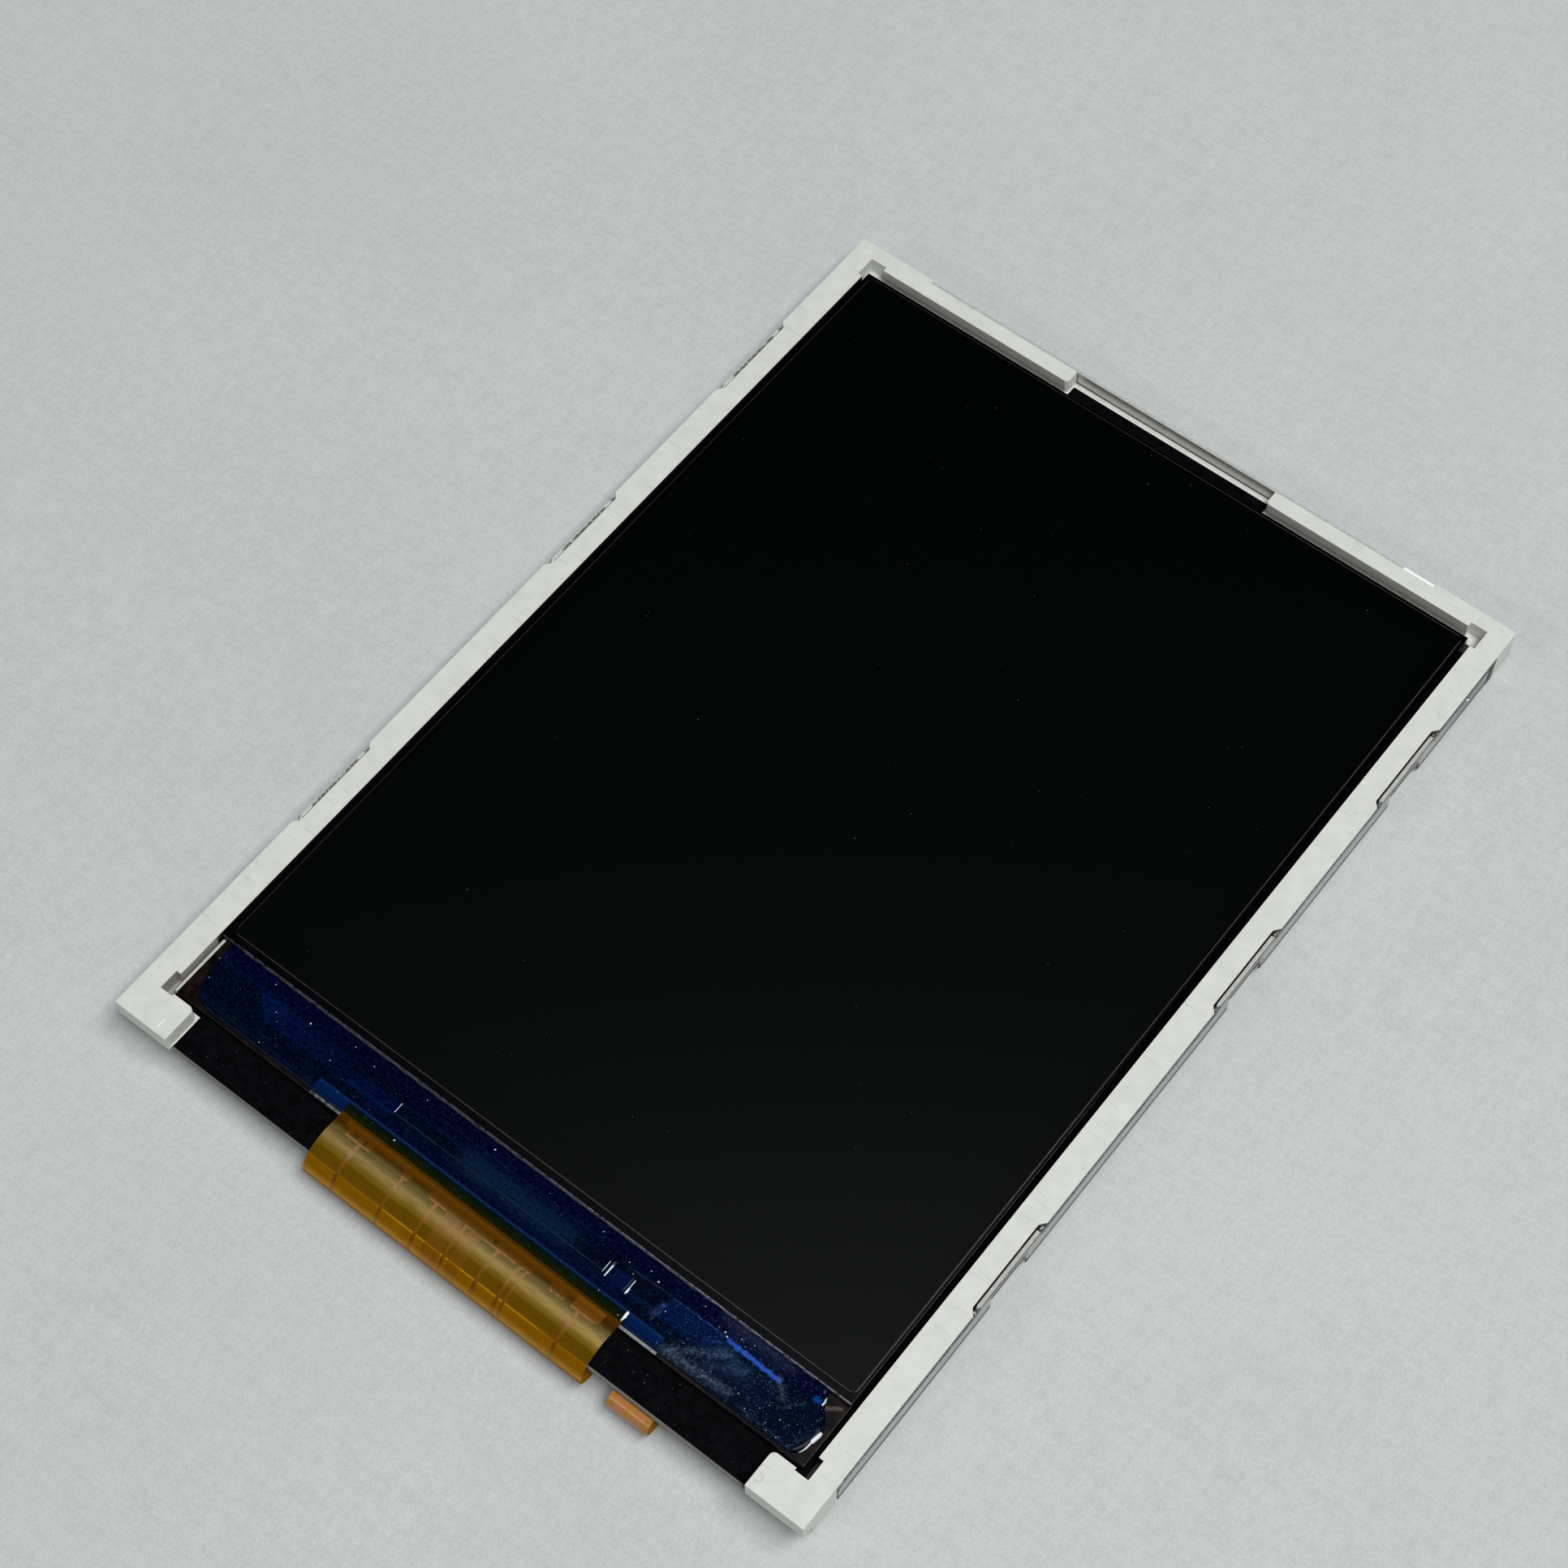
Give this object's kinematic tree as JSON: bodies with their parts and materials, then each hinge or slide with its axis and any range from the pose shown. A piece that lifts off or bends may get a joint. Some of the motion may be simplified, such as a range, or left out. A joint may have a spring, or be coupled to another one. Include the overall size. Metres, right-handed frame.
{
  "type": "tft display module",
  "caption": "Small colour TFT panel in a white moulded frame and a latched steel tray, with its flex folded round one end on to the back.",
  "frame": {"origin": "middle of the steel tray's back face, without the folded flex", "axes": "+X to the right and +Y up the screen, away from the end where the flex folds; +Z out of the screen"},
  "size_m": [0.0428, 0.0607, 0.0028],
  "materials": {
    "stainless_steel": "satin",
    "white_moulding": "matt",
    "reflector_film": "glossy",
    "clear_acrylic": "polished",
    "diffuser_film": "matt",
    "prism_film": "glossy",
    "led_housing": "matt",
    "polyimide": "satin",
    "solder": "satin",
    "black_tape": "matt",
    "polarizer": "glossy",
    "cell_glass": "polished",
    "chip_silicon": "glossy",
    "bonding_film": "satin",
    "blue_gel": "glossy",
    "adhesive": "matt",
    "stiffener": "satin",
    "gold_plate": "satin",
    "ceramic": "matt"
  },
  "bodies": {
    "root": {"rear_tray": "stainless_steel", "moulded_frame": "white_moulding", "reflector_sheet": "reflector_film", "light_guide": "clear_acrylic", "diffuser_sheet": "diffuser_film", "lower_prism_sheet": "prism_film", "upper_prism_sheet": "prism_film", "led_1": "led_housing", "led_2": "led_housing", "led_3": "led_housing", "led_4": "led_housing", "backlight_flex": "polyimide", "backlight_solder": "solder", "rim_tape": "black_tape", "rear_polarizer": "polarizer", "array_glass": "cell_glass", "filter_glass": "cell_glass", "front_polarizer": "polarizer", "driver_chip": "chip_silicon", "bonding_film": "bonding_film", "ledge_gel": "blue_gel", "main_flex": "polyimide", "flex_adhesive": "adhesive", "tail_stiffener": "stiffener", "tail_contacts": "gold_plate", "capacitor_1": "ceramic", "capacitor_2": "ceramic", "capacitor_3": "ceramic", "capacitor_4": "ceramic", "capacitor_5": "ceramic", "capacitor_6": "ceramic", "capacitor_7": "ceramic", "capacitor_8": "ceramic"}
  },
  "joints": []
}
